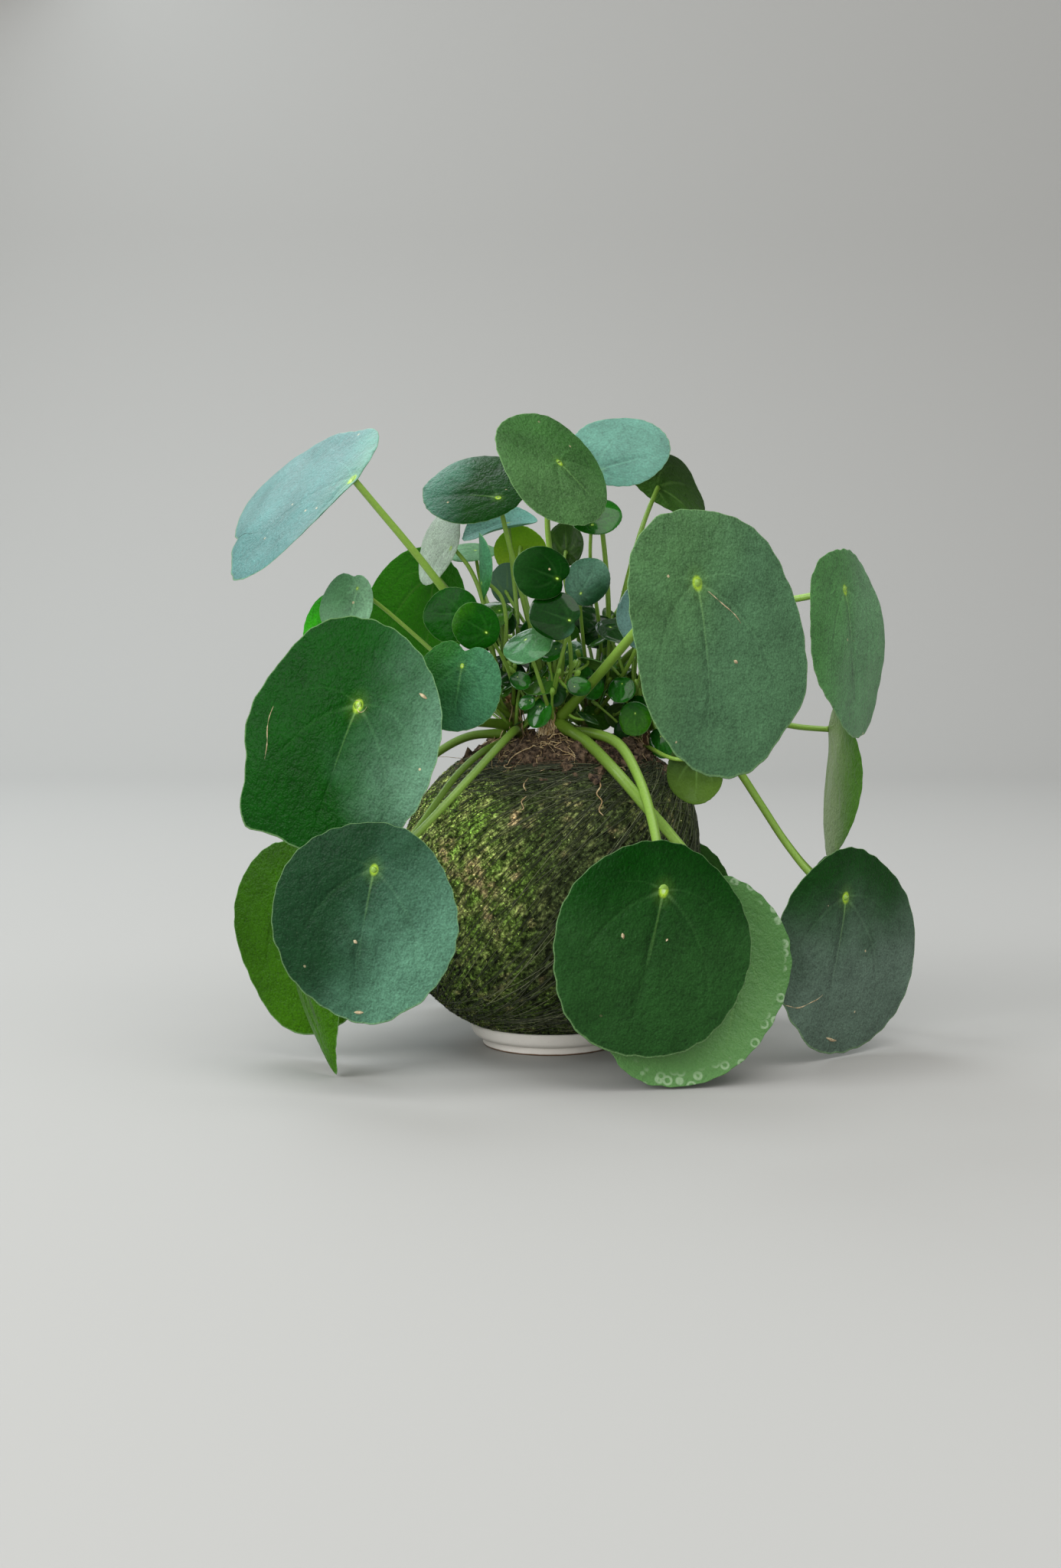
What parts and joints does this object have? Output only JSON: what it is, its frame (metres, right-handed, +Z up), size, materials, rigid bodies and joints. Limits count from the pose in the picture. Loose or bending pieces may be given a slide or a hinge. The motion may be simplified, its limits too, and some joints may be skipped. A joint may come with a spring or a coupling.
{
  "type": "kokedama moss ball plant",
  "caption": "Round-leaved house plant on thin stalks, grown out of a ball of soil that is wrapped in moss and bound with thread, on a small round saucer.",
  "frame": {"origin": "middle of the saucer's underside, where it stands on the surface", "axes": "+Z up, -Y towards the front of the plant as pictured, +X to the right"},
  "size_m": [0.3459, 0.3056, 0.3169],
  "materials": {
    "leaf": "thick green leaf, satin on top, paler below, with a pale spot over the stalk",
    "crown": "soft young green",
    "wood": "rough brown bark with old leaf scars",
    "soil": "dark crumbly soil with pale rootlets",
    "moss": "short matted moss, olive with dry patches",
    "thread": "fine dark green thread",
    "saucer": "matt warm-white glazed pottery"
  },
  "bodies": {
    "root": {"saucer": "saucer", "root_ball": "soil", "moss_wrap": "moss", "thread_winding": "thread", "left_stem": "wood", "left_crown": "crown", "centre_stem": "wood", "centre_crown": "crown", "back_stem": "wood", "back_crown": "crown", "right_stem": "wood", "right_crown": "crown", "leaf_left_low": "leaf", "leaf_left_big": "leaf", "leaf_left_low_behind": "leaf", "leaf_left_hanging_tip": "leaf", "leaf_top_left": "leaf", "leaf_left_back": "leaf", "leaf_left_small": "leaf", "leaf_left_sliver": "leaf", "leaf_left_pale_upright": "leaf", "leaf_inner_left_heart": "leaf", "leaf_inner_left_round": "leaf", "leaf_inner_left_back": "leaf", "leaf_inner_top_left_curled": "leaf", "leaf_inner_upright": "leaf", "leaf_inner_left_flat": "leaf", "leaf_front_low": "leaf", "leaf_front_low_turned": "leaf", "leaf_front_right_big": "leaf", "leaf_inner_glossy": "leaf", "leaf_inner_notched": "leaf", "leaf_inner_two_lobed": "leaf", "leaf_top_inner_left": "leaf", "leaf_top_centre": "leaf", "leaf_inner_yellow": "leaf", "leaf_right_upper": "leaf", "leaf_top_right": "leaf", "leaf_top_right_back": "leaf", "leaf_inner_right_dark": "leaf", "leaf_inner_top_right": "leaf", "leaf_inner_top_back": "leaf", "leaf_behind_front_right": "leaf", "leaf_inner_right_flat": "leaf", "leaf_inner_slate": "leaf", "leaf_right_low": "leaf", "leaf_right_folded": "leaf", "leaf_right_shoulder": "leaf", "leaf_inner_right_low": "leaf", "leaf_back_right_upper": "leaf", "leaf_back_top_right": "leaf", "leaf_back_right_side": "leaf", "leaf_back_right_low": "leaf", "leaf_back_left_upper": "leaf", "leaf_back_left": "leaf", "leaf_back_low": "leaf", "leaf_back_left_low": "leaf"}
  },
  "joints": []
}
